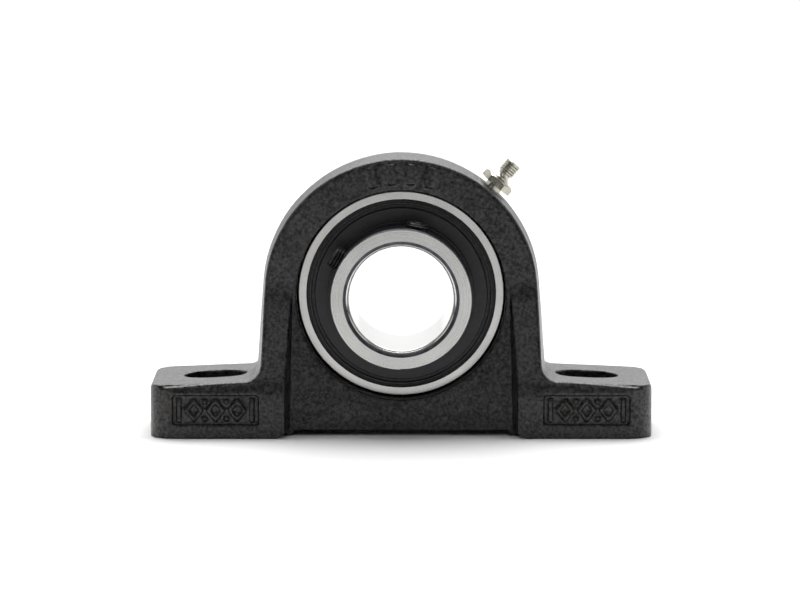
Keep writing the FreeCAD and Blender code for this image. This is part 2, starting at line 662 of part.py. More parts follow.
def make_cage_half(end):
    """One pressed half: flat lands between the balls and a cup over each ball."""
    ribbon = turned([
        (CAGE_INNER_RADIUS, 0), (CAGE_OUTER_RADIUS, 0),
        (CAGE_OUTER_RADIUS, end * CAGE_SHEET), (CAGE_INNER_RADIUS, end * CAGE_SHEET),
    ])
    hollow_radius = BALL_RADIUS + POCKET_CLEARANCE
    cup_radius = hollow_radius + CAGE_SHEET
    band = turned([
        (CAGE_INNER_RADIUS, 0), (CAGE_OUTER_RADIUS, 0),
        (CAGE_OUTER_RADIUS, end * (cup_radius + OVERRUN)), (CAGE_INNER_RADIUS, end * (cup_radius + OVERRUN)),
    ])
    cups = []
    hollows = []
    for angle in ball_angles():
        cup = Part.makeSphere(cup_radius)
        cup.translate(ball_centre(angle))
        cups.append(cup.common(band))
        hollow = Part.makeSphere(hollow_radius)
        hollow.translate(ball_centre(angle))
        hollows.append(hollow)
    for angle in rivet_angles():
        start = ball_centre(angle) - Y_AXIS * OVERRUN
        hole = Part.makeCylinder(RIVET_HOLE_RADIUS, 2 * OVERRUN, start, Y_AXIS)
        hollows.append(hole)
    return on_shaft_line(ribbon.fuse(cups).cut(hollows))


def make_cage_rivets():
    """One rivet between each two balls, with a low head on each side."""
    rivets = []
    for angle in rivet_angles():
        head_y = CAGE_SHEET + RIVET_HEAD_HEIGHT
        shank = Part.makeCylinder(RIVET_RADIUS, 2 * head_y, ball_centre(angle) - Y_AXIS * head_y, Y_AXIS)
        heads = [Part.makeCylinder(RIVET_HEAD_RADIUS, RIVET_HEAD_HEIGHT,
                                   ball_centre(angle) + Y_AXIS * y, Y_AXIS)
                 for y in (-head_y, CAGE_SHEET)]
        rivets.append(on_shaft_line(shank.fuse(heads)))
    return Part.makeCompound(rivets)


# ---------------------------------------------------------------- seals

def make_seal_rubber(end):
    """Moulded rubber: a bead in the outer ring's step, a thin back and a lip on the inner ring."""
    profile = [
        (SEAL_LIP_INNER, SEAL_BACK), (SEAL_BEAD_OUTER, SEAL_BACK),
        (SEAL_BEAD_OUTER, SEAL_BEAD_FACE, SEAL_ROUND), (SEAL_BEAD_INNER, SEAL_BEAD_FACE),
        (SEAL_BEAD_INNER, SEAL_CORE_BACK), (SEAL_CORE_INNER, SEAL_CORE_BACK),
        (SEAL_CORE_INNER, SEAL_LIP_FACE, SEAL_LIP_ROUND), (SEAL_LIP_INNER, SEAL_LIP_FACE),
    ]
    return on_shaft_line(turned(both_ends(profile, end)))


def make_seal_core(end):
    """Pressed steel ring bonded to the rubber, with its rim turned outwards."""
    profile = [
        (SEAL_CORE_INNER, SEAL_CORE_BACK), (SEAL_BEAD_INNER, SEAL_CORE_BACK),
        (SEAL_BEAD_INNER, SEAL_CORE_RIM, SEAL_ROUND), (SEAL_CORE_RIM_INNER, SEAL_CORE_RIM, SEAL_ROUND),
        (SEAL_CORE_RIM_INNER, SEAL_CORE_FACE), (SEAL_CORE_INNER, SEAL_CORE_FACE),
    ]
    return on_shaft_line(turned(both_ends(profile, end)))


def make_flinger(end):
    """Thrower disc pressed on the inner ring, with its rim bent back towards the seal."""
    profile = [
        (INNER_RING_RADIUS, FLINGER_BACK), (FLINGER_RIM_INNER, FLINGER_BACK),
        (FLINGER_RIM_INNER, FLINGER_RIM_BACK), (FLINGER_RADIUS, FLINGER_RIM_BACK),
        (FLINGER_RADIUS, FLINGER_FACE, FLINGER_ROUND), (FLINGER_HUB_RADIUS, FLINGER_FACE),
        (FLINGER_HUB_RADIUS, FLINGER_HUB_FACE, FLINGER_HUB_ROUND), (INNER_RING_RADIUS, FLINGER_HUB_FACE),
    ]
    return on_shaft_line(turned(both_ends(profile, end)))


# ---------------------------------------------------------------- set screws

def make_set_screw(angle_deg, inner_end):
    """Socket set screw with a cup point, made along +Z with its socket outwards."""
    outer_end = inner_end + SCREW_LENGTH
    screw = Part.makeCylinder(SCREW_RADIUS, SCREW_LENGTH, Vector(0, 0, inner_end))
    screw = screw.makeChamfer(SCREW_EDGE, [edge for edge in screw.Edges if edge.Closed])
    socket = hexagon(SCREW_SOCKET_ACROSS_FLATS, outer_end - SCREW_SOCKET_DEPTH, SCREW_SOCKET_DEPTH + OVERRUN)
    cup = Part.makeCone(SCREW_CUP_RADIUS, SCREW_CUP_TIP_RADIUS, SCREW_CUP_DEPTH, Vector(0, 0, inner_end))
    return radial(screw.cut([socket, cup]), angle_deg, SCREW_Y)


# ---------------------------------------------------------------- grease nipple

def nipple_turning():
    """Shank, neck and ridged head, about +Z with the spot face at height 0."""
    profile = [
        (0, -NIPPLE_SHANK_LENGTH), (NIPPLE_SHANK_RADIUS, -NIPPLE_SHANK_LENGTH),
        (NIPPLE_SHANK_RADIUS, NIPPLE_HEX_BOTTOM), (NIPPLE_NECK_FOOT_RADIUS, NIPPLE_HEX_BOTTOM),
        (NIPPLE_NECK_FOOT_RADIUS, NIPPLE_HEX_TOP),
    ]
    points = [Vector(radius, 0, height) for radius, height in profile]
    foot = Vector(NIPPLE_NECK_FOOT_RADIUS, 0, NIPPLE_HEX_TOP)
    waist = Vector(NIPPLE_NECK_RADIUS, 0, NIPPLE_NECK_TOP)
    hollow = Vector(NIPPLE_NECK_RADIUS + NIPPLE_NECK_HOLLOW[0], 0, NIPPLE_HEX_TOP + NIPPLE_NECK_HOLLOW[1])
    edges = [Part.makeLine(points[i], points[i + 1]) for i in range(len(points) - 1)]
    edges.append(Part.Arc(foot, hollow, waist).toShape())
    ridge_bottom = NIPPLE_HEAD_TOP - NIPPLE_RIDGE_COUNT * NIPPLE_RIDGE_PITCH
    outline = [waist, Vector(NIPPLE_NECK_RADIUS, 0, ridge_bottom - NIPPLE_RIDGE_FLANK * NIPPLE_RIDGE_PITCH)]
    root_radius = NIPPLE_HEAD_RADIUS - NIPPLE_RIDGE_DEPTH
    for ridge in range(NIPPLE_RIDGE_COUNT):
        bottom = ridge_bottom + ridge * NIPPLE_RIDGE_PITCH
        flank = NIPPLE_RIDGE_FLANK
        for radius, rise in ((root_radius, 0), (NIPPLE_HEAD_RADIUS, flank),
                             (NIPPLE_HEAD_RADIUS, 1 - flank), (root_radius, 1)):
            outline.append(Vector(radius, 0, bottom + rise * NIPPLE_RIDGE_PITCH))
    outline.append(Vector(0, 0, NIPPLE_HEAD_TOP))
    outline.append(points[0])
    for start, end in zip(outline, outline[1:]):
        if start.distanceToPoint(end) > SAME_PLACE:
            edges.append(Part.makeLine(start, end))
    return Part.Face(Part.Wire(edges)).revolve(Vector(0, 0, 0), Z_AXIS, 360)


def nipple_hexagon():
    """The spanner hexagon, its top corners bevelled."""
    prism = hexagon(NIPPLE_HEX_ACROSS_FLATS, NIPPLE_HEX_BOTTOM, NIPPLE_HEX_TOP - NIPPLE_HEX_BOTTOM)
    prism.rotate(Vector(0, 0, 0), Z_AXIS, NIPPLE_HEX_TURN_DEG)
    top_radius = NIPPLE_HEX_ACROSS_FLATS / 2 - NIPPLE_HEX_BEVEL
    bevel = Part.makeCone(top_radius + NIPPLE_HEX_BEVEL_SPREAD, top_radius, NIPPLE_HEX_TOP)
    return prism.common(bevel)


def make_nipple_body():
    solid = nipple_turning().fuse(nipple_hexagon())
    bore_length = NIPPLE_TIP_EDGE - NIPPLE_SPRING_SEAT
    bore = Part.makeCylinder(NIPPLE_BORE_RADIUS, bore_length, Vector(0, 0, NIPPLE_SPRING_SEAT))
    lower_bottom = -NIPPLE_SHANK_LENGTH - OVERRUN
    lower = Part.makeCylinder(NIPPLE_LOWER_BORE_RADIUS, NIPPLE_SPRING_SEAT - lower_bottom,
                              Vector(0, 0, lower_bottom))
    tip = Part.makeCylinder(NIPPLE_TIP_RADIUS, NIPPLE_HEAD_TOP, Vector(0, 0, NIPPLE_SPRING_SEAT))
    solid = solid.cut([bore, lower, tip])
    solid.translate(Z_AXIS * NIPPLE_SEAT_RADIUS)
    return radial(solid, NIPPLE_ANGLE_DEG)


def make_nipple_ball():
    ball = Part.makeSphere(CHECK_BALL_RADIUS, Vector(0, 0, NIPPLE_SEAT_RADIUS + CHECK_BALL_HEIGHT))
    return radial(ball, NIPPLE_ANGLE_DEG)


def make_nipple_spring():
    """Coil spring between the step in the nipple's bore and the check ball."""
    wire_room = SPRING_WIRE_RADIUS + SPRING_CLEARANCE
    bottom = NIPPLE_SEAT_RADIUS + NIPPLE_SPRING_SEAT + wire_room
    ball_centre_height = NIPPLE_SEAT_RADIUS + CHECK_BALL_HEIGHT
    reach = CHECK_BALL_RADIUS + wire_room
    top = ball_centre_height - math.sqrt(reach ** 2 - SPRING_MEAN_RADIUS ** 2)
    helix = Part.makeHelix(SPRING_PITCH, top - bottom, SPRING_MEAN_RADIUS)
    section = Part.Wire(Part.makeCircle(SPRING_WIRE_RADIUS, Vector(SPRING_MEAN_RADIUS, 0, 0), Y_AXIS))
    coil = Part.Wire(helix).makePipeShell([section], True, True)
    coil.translate(Z_AXIS * bottom)
    return radial(coil, NIPPLE_ANGLE_DEG)


# ---------------------------------------------------------------- all parts

def all_parts():
    """Every node's name and shape."""
    parts = {
        "housing": make_housing(),
        "outer_ring": make_outer_ring(),
        "inner_ring": make_inner_ring(),
        "anti_rotation_pin": make_anti_rotation_pin(),
        "cage_front": make_cage_half(-1),
        "cage_rear": make_cage_half(1),
        "cage_rivets": make_cage_rivets(),
        "nipple_body": make_nipple_body(),
        "nipple_check_ball": make_nipple_ball(),
        "nipple_spring": make_nipple_spring(),
    }
    for index, angle in enumerate(ball_angles()):
        parts["ball_%d" % (index + 1)] = make_ball(angle)
    for name, end in (("front", -1), ("rear", 1)):
        parts["seal_" + name] = make_seal_rubber(end)
        parts["seal_core_" + name] = make_seal_core(end)
        parts["flinger_" + name] = make_flinger(end)
    for index, (angle, inner_end) in enumerate(zip(SCREW_ANGLES_DEG, SCREW_INNER_ENDS)):
        parts["set_screw_%d" % (index + 1)] = make_set_screw(angle, inner_end)
    return parts


def main():
    os.makedirs("parts", exist_ok=True)
    for name, shape in all_parts().items():
        shape.exportStep("parts/%s.step" % name)
        print("%-18s solids %d volume %.1f mm3" % (name, len(shape.Solids), shape.Volume))


main()
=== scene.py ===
import json
import math

import bmesh
import bpy
import numpy as np
from mathutils import Matrix, Vector, noise


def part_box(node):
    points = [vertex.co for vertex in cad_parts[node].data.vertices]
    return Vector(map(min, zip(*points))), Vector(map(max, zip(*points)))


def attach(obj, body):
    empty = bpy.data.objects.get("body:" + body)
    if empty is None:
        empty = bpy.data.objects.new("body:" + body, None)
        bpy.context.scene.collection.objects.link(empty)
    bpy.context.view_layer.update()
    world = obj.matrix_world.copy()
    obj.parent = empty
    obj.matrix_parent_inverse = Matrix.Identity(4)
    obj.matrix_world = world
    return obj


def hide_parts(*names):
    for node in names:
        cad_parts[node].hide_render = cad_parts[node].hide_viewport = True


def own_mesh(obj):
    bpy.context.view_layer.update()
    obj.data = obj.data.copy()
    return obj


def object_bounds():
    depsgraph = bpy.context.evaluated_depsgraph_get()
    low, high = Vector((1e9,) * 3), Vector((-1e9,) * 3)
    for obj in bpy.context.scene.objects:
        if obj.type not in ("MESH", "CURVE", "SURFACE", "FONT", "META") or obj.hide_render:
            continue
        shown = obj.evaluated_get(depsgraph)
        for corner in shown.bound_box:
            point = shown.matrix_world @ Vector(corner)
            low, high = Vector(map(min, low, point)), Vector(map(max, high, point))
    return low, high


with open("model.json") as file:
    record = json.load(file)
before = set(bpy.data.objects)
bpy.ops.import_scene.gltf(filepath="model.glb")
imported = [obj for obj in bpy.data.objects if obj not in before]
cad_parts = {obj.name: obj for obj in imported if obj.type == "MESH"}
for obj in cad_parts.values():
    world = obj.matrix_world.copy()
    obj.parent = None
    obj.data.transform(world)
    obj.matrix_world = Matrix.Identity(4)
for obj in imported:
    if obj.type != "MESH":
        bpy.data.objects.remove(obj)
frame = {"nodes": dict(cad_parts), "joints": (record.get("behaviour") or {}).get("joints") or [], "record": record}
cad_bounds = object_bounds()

MM = 0.001

# ---------------------------------------------------------------- places, from the frame

JOINTS = {joint["name"]: joint for joint in frame["joints"]}
CENTRE = Vector(JOINTS["shaft_spin"]["pos_m"])
RING_LOW, RING_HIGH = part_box("outer_ring")
SEAT_RADIUS = (RING_HIGH.x - RING_LOW.x) / 2
HOUSING_HALF_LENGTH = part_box("housing")[1].x
MOUNTS = {mount["name"]: mount for mount in frame["record"]["mounts"]}
SHAFT_RADIUS = MOUNTS["shaft_bore"]["dims"]["r_mm"] * MM

# ---------------------------------------------------------------- camera, light and floor

CAMERA_DISTANCE = 1.470
CAMERA_HEIGHT = 0.231
CAMERA_SIDE = 0.0002
CAMERA_LENS_MM = 195.0
CAMERA_SENSOR_MM = 36.0
CLIP_NEAR = 0.05
CLIP_FAR = 50.0
AIM_SIDE = -0.0004
AIM_BELOW_SHAFT = 0.0033

SKY_BASE = 0.18
SKY_BEHIND = 0.92
SKY_ABOVE = 0.34
SKY_LOWEST = 0.06
KEY_WATTS = 17.5
BACK_WATTS = 44.0
FRONT_WATTS = 3.6
SIDE_WATTS = 1.8
LAMP_AIM = (0, 0, 0.05)
FLOOR_HALF = 8.0


def look_at(obj, target):
    """Turns a camera or light so that it looks at a point, with the picture upright."""
    direction = Vector(target) - obj.location
    obj.rotation_euler = direction.to_track_quat("-Z", "Y").to_euler()


def make_camera():
    data = bpy.data.cameras.new("camera")
    data.lens = CAMERA_LENS_MM
    data.sensor_width = CAMERA_SENSOR_MM
    data.clip_start = CLIP_NEAR
    data.clip_end = CLIP_FAR
    camera = bpy.data.objects.new("camera", data)
    bpy.context.scene.collection.objects.link(camera)
    camera.location = (CAMERA_SIDE, -CAMERA_DISTANCE, CAMERA_HEIGHT)
    look_at(camera, (AIM_SIDE, 0.0, CENTRE.z - AIM_BELOW_SHAFT))
    bpy.context.scene.camera = camera


def soft_box(name, location, size, watts, target):
    """A large square lamp with soft edges to its shadows."""
    data = bpy.data.lights.new(name, "AREA")
    data.shape = "RECTANGLE"
    data.size, data.size_y = size
    data.energy = watts
    lamp = bpy.data.objects.new(name, data)
    bpy.context.scene.collection.objects.link(lamp)
    lamp.location = location
    look_at(lamp, target)


def make_world():
    """Soft light from all round: dim in front, brighter behind and overhead."""
    world = bpy.data.worlds.new("studio")
    bpy.context.scene.world = world
    world.use_nodes = True
    tree = world.node_tree
    tree.nodes.clear()
    direction = tree.nodes.new("ShaderNodeSeparateXYZ")
    tree.links.new(tree.nodes.new("ShaderNodeTexCoord").outputs["Generated"], direction.inputs[0])
    behind = tree.nodes.new("ShaderNodeMath")
    behind.operation = "MULTIPLY_ADD"
    tree.links.new(direction.outputs["Y"], behind.inputs[0])
    behind.inputs[1].default_value = SKY_BEHIND
    behind.inputs[2].default_value = SKY_BASE
    above = tree.nodes.new("ShaderNodeMath")
    above.operation = "MULTIPLY_ADD"
    tree.links.new(direction.outputs["Z"], above.inputs[0])
    above.inputs[1].default_value = SKY_ABOVE
    tree.links.new(behind.outputs[0], above.inputs[2])
    lowest = tree.nodes.new("ShaderNodeMath")
    lowest.operation = "MAXIMUM"
    tree.links.new(above.outputs[0], lowest.inputs[0])
    lowest.inputs[1].default_value = SKY_LOWEST
    background = tree.nodes.new("ShaderNodeBackground")
    background.inputs["Color"].default_value = (1.0, 1.0, 1.0, 1.0)
    tree.links.new(lowest.outputs[0], background.inputs["Strength"])
    tree.links.new(background.outputs[0], tree.nodes.new("ShaderNodeOutputWorld").inputs["Surface"])


def make_lights():
    bpy.context.scene.view_settings.view_transform = "Standard"
    make_world()
    soft_box("key_above", (0.0, 0.35, 1.3), (1.4, 1.0), KEY_WATTS, LAMP_AIM)
    soft_box("back_above", (0.0, 2.6, 2.2), (3.0, 2.0), BACK_WATTS, (0, 2.0, 0))
    soft_box("front_above", (0.0, -1.3, 0.95), (1.6, 0.7), FRONT_WATTS, (0, 0, 0.04))
    soft_box("fill_left", (-1.2, -0.1, 0.7), (0.9, 0.9), SIDE_WATTS, LAMP_AIM)
    soft_box("fill_right", (1.2, -0.1, 0.7), (0.9, 0.9), SIDE_WATTS, LAMP_AIM)


def make_floor():
    """A pale floor that runs past the top of the picture."""
    mesh = bpy.data.meshes.new("floor")
    corners = [(x * FLOOR_HALF, y * FLOOR_HALF, 0) for x, y in ((-1, -1), (1, -1), (1, 1), (-1, 1))]
    mesh.from_pydata(corners, [], [(0, 1, 2, 3)])
    floor = bpy.data.objects.new("floor", mesh)
    bpy.context.scene.collection.objects.link(floor)
    floor.location.z = cad_bounds[0][2]
    look = Look("studio_floor")
    cloud = look.noise(look.place(), 3.0, 2.0)
    tone = look.ramp(cloud, [(0.3, (0.86, 0.86, 0.86)), (0.7, (0.89, 0.89, 0.89))])
    look.finish(color=tone, roughness=0.7)
    floor.data.materials.append(look.material)


# ---------------------------------------------------------------- materials

class Look:
    """Builds one procedural material from nodes."""

    def __init__(self, name):
        self.material = bpy.data.materials.new(name)
        self.material.use_nodes = True
        self.tree = self.material.node_tree
        self.tree.nodes.clear()
        self.output = self.tree.nodes.new("ShaderNodeOutputMaterial")
        self.shader = self.tree.nodes.new("ShaderNodeBsdfPrincipled")
        self.tree.links.new(self.shader.outputs[0], self.output.inputs["Surface"])

    def node(self, kind, inputs=None, **settings):
        made = self.tree.nodes.new(kind)
        for key, value in settings.items():
            setattr(made, key, value)
        for key, value in (inputs or {}).items():
            self.connect(made.inputs[key], value)
        return made

    def connect(self, socket, value):
        if isinstance(value, bpy.types.NodeSocket):
            self.tree.links.new(value, socket)
        elif isinstance(value, tuple) and len(value) == 3 and socket.type == "RGBA":
            socket.default_value = (*value, 1.0)
        else:
            socket.default_value = value

    def place(self):
        """The point in the row frame, in metres, carried along by the piece."""
        return self.node("ShaderNodeTexCoord").outputs["Object"]

    def noise(self, point, scale, detail, distortion=0.0, roughness=0.5):
        made = self.node("ShaderNodeTexNoise", {
            "Vector": point, "Scale": scale, "Detail": detail,
            "Roughness": roughness, "Distortion": distortion})
        return made.outputs["Fac"]

    def ramp(self, factor, stops):
        made = self.node("ShaderNodeValToRGB", {"Fac": factor})
        elements = made.color_ramp.elements
        while len(elements) < len(stops):
            elements.new(0.5)
        for element, (position, color) in zip(elements, stops):
            element.position = position
            element.color = (*color, 1.0)
        return made.outputs["Color"]

    def level(self, factor, low, high, to_low=0.0, to_high=1.0):
        """Stretches low..high to to_low..to_high and cuts off what is outside."""
        made = self.node("ShaderNodeMapRange", {
            "Value": factor, "From Min": low, "From Max": high, "To Min": to_low, "To Max": to_high})
        return made.outputs["Result"]

    def math(self, operation, *values):
        made = self.node("ShaderNodeMath", operation=operation)
        for index, value in enumerate(values):
            self.connect(made.inputs[index], value)
        return made.outputs[0]

    def blend(self, factor, first, second):
        """Mixes two colours."""
        made = self.node("ShaderNodeMix", data_type="RGBA")
        self.connect(made.inputs[0], factor)
        self.connect(made.inputs[6], first)
        self.connect(made.inputs[7], second)
        return made.outputs[2]

    def bump(self, height, distance, strength=1.0, normal=None):
        inputs = {"Height": height, "Distance": distance, "Strength": strength}
        if normal is not None:
            inputs["Normal"] = normal
        return self.node("ShaderNodeBump", inputs).outputs["Normal"]

    def axis_radius(self):
        """Distance from the shaft's axis, and the position along it."""
        split = self.node("ShaderNodeSeparateXYZ", {"Vector": self.place()})
        height = self.math("SUBTRACT", split.outputs["Z"], CENTRE.z)
        flat = self.node("ShaderNodeCombineXYZ", {"X": split.outputs["X"], "Y": height})
        length = self.node("ShaderNodeVectorMath", {0: flat.outputs[0]}, operation="LENGTH")
        return length.outputs["Value"], split.outputs["Y"]

    def turned_lines(self, lines_per_mm, wander=0.0):
        """Fine lines that run round the shaft's axis, on faces and on barrels alike."""
        radius, along = self.axis_radius()
        inputs = {"X": radius, "Y": along}
        point = self.node("ShaderNodeCombineXYZ", inputs).outputs[0]
        return self.noise(point, lines_per_mm / MM, 2.0, wander)

    def finish(self, color=None, roughness=None, normal=None, **constants):
        for name, value in (("Base Color", color), ("Roughness", roughness), ("Normal", normal)):
            if value is not None:
                self.connect(self.shader.inputs[name], value)
        for name, value in constants.items():
            self.connect(self.shader.inputs[name.replace("_", " ")], value)
        return self.material


FOOT_WEAR_FROM = 9.0 * MM
FOOT_WEAR_FULL = 1.0 * MM
# How far out from and in from the seat's radius the painted shade round the bearing seat reaches.
SEAT_SHADE_OUTER = 0.35 * MM
SEAT_SHADE_INNER = 0.25 * MM
WEAR_SHARE = 0.26


def cast_paint():
    """Charcoal paint on a sand-cast skin, rubbed through a little on its edges, with painted shade darkening it
    round the bearing seat.
    """
    look = Look("charcoal_cast_paint")
    point = look.place()
    grain = look.noise(point, 0.60 / MM, 4.0, 0.3, 0.62)
    sand = look.noise(point, 1.6 / MM, 2.0)
    coarse = look.noise(point, 0.22 / MM, 2.0)
    cloud = look.noise(point, 45.0, 3.0)
    mixed = look.math("MULTIPLY_ADD", grain, 0.75, look.math("MULTIPLY", cloud, 0.25))
    mottle = look.level(mixed, 0.40, 0.60)
    base = look.ramp(mottle, [
        (0.0, (0.0012, 0.0011, 0.0012)), (0.5, (0.0050, 0.0048, 0.0050)), (1.0, (0.0250, 0.0240, 0.0240))])
    edge = look.node("ShaderNodeNewGeometry").outputs["Pointiness"]
    ridge = look.level(edge, 0.515, 0.56)
    patch = look.level(look.noise(point, 160.0, 4.0), 0.47, 0.62)
    split = look.node("ShaderNodeSeparateXYZ", {"Vector": point})
    reach = look.math("ABSOLUTE", split.outputs["X"])
    foot_end = look.level(reach, HOUSING_HALF_LENGTH - FOOT_WEAR_FROM, HOUSING_HALF_LENGTH - FOOT_WEAR_FULL)
    scuff = look.level(look.noise(point, 320.0, 4.0, 0.6), 0.44, 0.66)
    wear = look.math("MAXIMUM", look.math("MULTIPLY", ridge, patch), look.math("MULTIPLY", foot_end, scuff))
    worn = look.blend(look.math("MULTIPLY", wear, WEAR_SHARE), base, (0.098, 0.072, 0.050))
    radius, _ = look.axis_radius()
    # Painted shade: near the seat's radius and inside it the paint goes nearly black, standing in for the shadow
    # in the narrow gap at the bearing.
    seat_gap_shade = look.level(radius, SEAT_RADIUS + SEAT_SHADE_OUTER, SEAT_RADIUS - SEAT_SHADE_INNER)
    color = look.blend(seat_gap_shade, worn, (0.0025, 0.0025, 0.0026))
    roughness = look.level(mottle, 0.0, 1.0, 0.27, 0.40)
    soft = look.bump(coarse, 0.16 * MM, 0.7)
    pebbled = look.bump(grain, 0.10 * MM, 0.9, soft)
    normal = look.bump(sand, 0.05 * MM, 0.8, pebbled)
    gloss = look.level(look.noise(point, 1.0 / MM, 3.0), 0.35, 0.65, 0.26, 0.72)
    return look.finish(color, roughness, normal, Specular_IOR_Level=gloss)


def steel_colours(look, lines):
    smear = look.noise(look.place(), 90.0, 3.0)
    tone = look.math("ADD", look.math("MULTIPLY", lines, 0.6), look.math("MULTIPLY", smear, 0.4))
    return look.ramp(tone, [(0.35, (0.44, 0.436, 0.426)), (0.65, (0.56, 0.556, 0.542))])


def ground_steel():
    """Ground bearing steel with fine lines round the axis."""
    look = Look("ground_steel_turned")
    lines = look.turned_lines(6.0)
    roughness = look.level(lines, 0.3, 0.7, 0.20, 0.30)
    normal = look.bump(lines, 0.004 * MM, 0.6)
    return look.finish(steel_colours(look, lines), roughness, normal, Metallic=1.0)


MOUTH_EDGE_START = 2.10 * MM
MOUTH_EDGE_END = 2.25 * MM
BORE_EDGE_OUTER = 1.15 * MM
BORE_EDGE_INNER = 1.05 * MM


def inner_ring_steel():
    """Bright where the ring is ground (end faces and bore), dark from heat treatment elsewhere."""
    look = Look("inner_ring_steel")
    lines = look.turned_lines(6.0)
    radius, _ = look.axis_radius()
    facing = look.node("ShaderNodeSeparateXYZ", {
        "Vector": look.node("ShaderNodeTexCoord").outputs["Normal"]}).outputs["Y"]
    outside_mouth = look.level(radius, SHAFT_RADIUS + MOUTH_EDGE_START, SHAFT_RADIUS + MOUTH_EDGE_END)
    on_face = look.math("MULTIPLY", outside_mouth, look.level(look.math("ABSOLUTE", facing), 0.90, 0.96))
    in_bore = look.level(radius, SHAFT_RADIUS + BORE_EDGE_OUTER, SHAFT_RADIUS + BORE_EDGE_INNER)
    ground = look.math("MAXIMUM", on_face, in_bore)
    scale = look.ramp(look.noise(look.place(), 400.0, 3.0), [
        (0.35, (0.045, 0.047, 0.055)), (0.65, (0.085, 0.087, 0.098))])
    bright = look.blend(in_bore, steel_colours(look, lines), (0.66, 0.66, 0.65))
    color = look.blend(ground, scale, bright)
    rough_lines = look.level(lines, 0.3, 0.7, 0.22, 0.32)
    dull = look.level(ground, 0.0, 1.0, 0.10, 0.0)
    honed = look.level(in_bore, 0.0, 1.0, 0.0, -0.08)
    roughness = look.math("ADD", look.math("ADD", rough_lines, dull), honed)
    normal = look.bump(lines, 0.004 * MM, 0.6)
    return look.finish(color, roughness, normal, Metallic=1.0)


def polished_ball_steel():
    look = Look("ball_steel")
    haze = look.noise(look.place(), 300.0, 2.0)
    color = look.ramp(haze, [(0.3, (0.62, 0.62, 0.62)), (0.7, (0.70, 0.70, 0.695))])
    return look.finish(color, look.level(haze, 0.3, 0.7, 0.06, 0.13), Metallic=1.0)


def pressed_steel():
    look = Look("pressed_sheet_steel")
    point = look.place()
    flecks = look.noise(point, 700.0, 3.0)
    color = look.ramp(flecks, [(0.3, (0.30, 0.30, 0.295)), (0.7, (0.45, 0.445, 0.43))])
    roughness = look.level(look.noise(point, 120.0, 3.0), 0.3, 0.7, 0.28, 0.45)
    return look.finish(color, roughness, look.bump(flecks, 0.01 * MM, 0.5), Metallic=1.0)


def dark_coated_steel():
    """Phosphated sheet of the seal, nearly black."""
    look = Look("dark_coated_seal_steel")
    lines = look.turned_lines(3.0)
    flecks = look.noise(look.place(), 900.0, 3.0)
    color = look.ramp(flecks, [(0.3, (0.020, 0.020, 0.022)), (0.7, (0.042, 0.042, 0.045))])
    roughness = look.level(lines, 0.3, 0.7, 0.34, 0.46)
    return look.finish(color, roughness, look.bump(flecks, 0.01 * MM, 0.5), Metallic=0.6)


def flinger_black():
    """Satin black coating of the thrower disc, with faint turned lines."""
    look = Look("flinger_satin_black")
    lines = look.turned_lines(2.2)
    dust = look.noise(look.place(), 800.0, 4.0)
    color = look.ramp(dust, [(0.35, (0.0065, 0.0065, 0.0075)), (0.70, (0.0120, 0.0120, 0.0135))])
    roughness = look.level(lines, 0.3, 0.7, 0.36, 0.46)
    return look.finish(color, roughness, look.bump(lines, 0.012 * MM, 0.5))


def seal_rubber():
    look = Look("nitrile_rubber")
    point = look.place()
    skin = look.noise(point, 1500.0, 3.0)
    cloud = look.noise(point, 200.0, 3.0)
    color = look.ramp(cloud, [(0.3, (0.008, 0.008, 0.0085)), (0.7, (0.016, 0.016, 0.017))])
    roughness = look.level(skin, 0.3, 0.7, 0.50, 0.66)
    return look.finish(color, roughness, look.bump(skin, 0.02 * MM, 0.5))


def black_oxide():
    """Black oxide on the set screws, rubbed brighter on the thread crests."""
    look = Look("black_oxide_steel")
    point = look.place()
    flecks = look.noise(point, 900.0, 3.0)
    base = look.ramp(flecks, [(0.3, (0.012, 0.012, 0.013)), (0.7, (0.028, 0.028, 0.030))])
    edge = look.level(look.node("ShaderNodeNewGeometry").outputs["Pointiness"], 0.53, 0.62)
    rub = look.math("MULTIPLY", edge, look.level(look.noise(point, 500.0, 3.0), 0.40, 0.60))
    color = look.blend(rub, base, (0.16, 0.16, 0.155))
    roughness = look.level(flecks, 0.3, 0.7, 0.28, 0.42)
    return look.finish(color, roughness, look.bump(flecks, 0.008 * MM, 0.5), Metallic=0.75)


def zinc_plate():
    """Bright zinc plate with a faint straw tint and handling marks."""
    look = Look("bright_zinc_plate")
    point = look.place()
    cloud = look.noise(point, 350.0, 3.0, 0.4)
    specks = look.level(look.noise(point, 1800.0, 3.0), 0.60, 0.72)
    base = look.ramp(cloud, [
        (0.30, (0.36, 0.34, 0.28)), (0.55, (0.50, 0.485, 0.42)), (0.75, (0.58, 0.565, 0.50))])
    color = look.blend(look.math("MULTIPLY", specks, 0.5), base, (0.35, 0.31, 0.24))
    roughness = look.level(cloud, 0.3, 0.7, 0.20, 0.34)
    return look.finish(color, roughness, look.bump(cloud, 0.01 * MM, 0.4), Metallic=1.0)


def dress(node, material):
    """Gives a CAD node its material."""
    mesh = frame["nodes"][node].data
    for index in range(len(mesh.materials)):
        mesh.materials[index] = material


def dress_cad_nodes():
    steel = ground_steel()
    ball = polished_ball_steel()
    sheet = pressed_steel()
    coated = dark_coated_steel()
    flinger = flinger_black()
    rubber = seal_rubber()
    looks = {
        "outer_ring": steel, "inner_ring": inner_ring_steel(), "anti_rotation_pin": steel,
        "cage_front": sheet, "cage_rear": sheet, "cage_rivets": sheet,
        "nipple_check_ball": ball, "nipple_body": zinc_plate(),
        "seal_core_front": coated, "seal_core_rear": coated,
        "seal_front": rubber, "seal_rear": rubber, "flinger_front": flinger, "flinger_rear": flinger,
    }
    for index in range(1, 10):
        looks["ball_%d" % index] = ball
    for node, material in looks.items():
        dress(node, material)


# ---------------------------------------------------------------- cast housing

